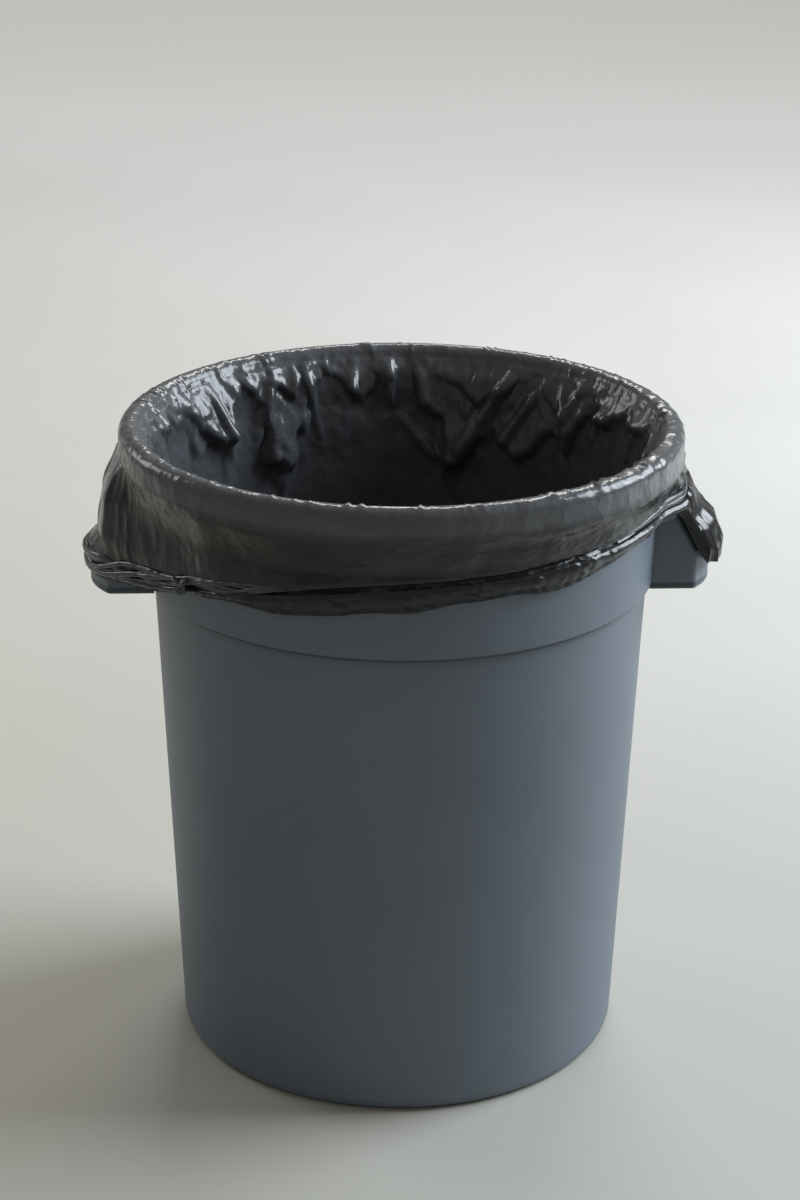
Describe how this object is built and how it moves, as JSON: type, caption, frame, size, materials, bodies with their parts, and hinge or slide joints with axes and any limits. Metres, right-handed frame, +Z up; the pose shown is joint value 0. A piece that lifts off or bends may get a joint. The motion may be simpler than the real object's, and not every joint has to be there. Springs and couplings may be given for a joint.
{
  "type": "lined waste bin",
  "caption": "Round tapered plastic waste bin with a rolled rim, a stepped collar and two hood handles, lined with a black plastic bag that turns over the rim and is knotted tight below it",
  "frame": {"origin": "on the floor, on the axis of the bin, under the middle of its foot ring", "axes": "+Z up along the bin's axis, X through the two handles with the bag's knot side at -X, +Y to the back of the picture's view"},
  "size_m": [0.5683, 0.498, 0.5822],
  "materials": {
    "bin_plastic": "satin moulded polyethylene, blue grey",
    "bag_film": "black blown film, glossy and crumpled"
  },
  "bodies": {
    "root": {"bin_body": "bin_plastic", "bin_bag": "bag_film"}
  },
  "joints": []
}
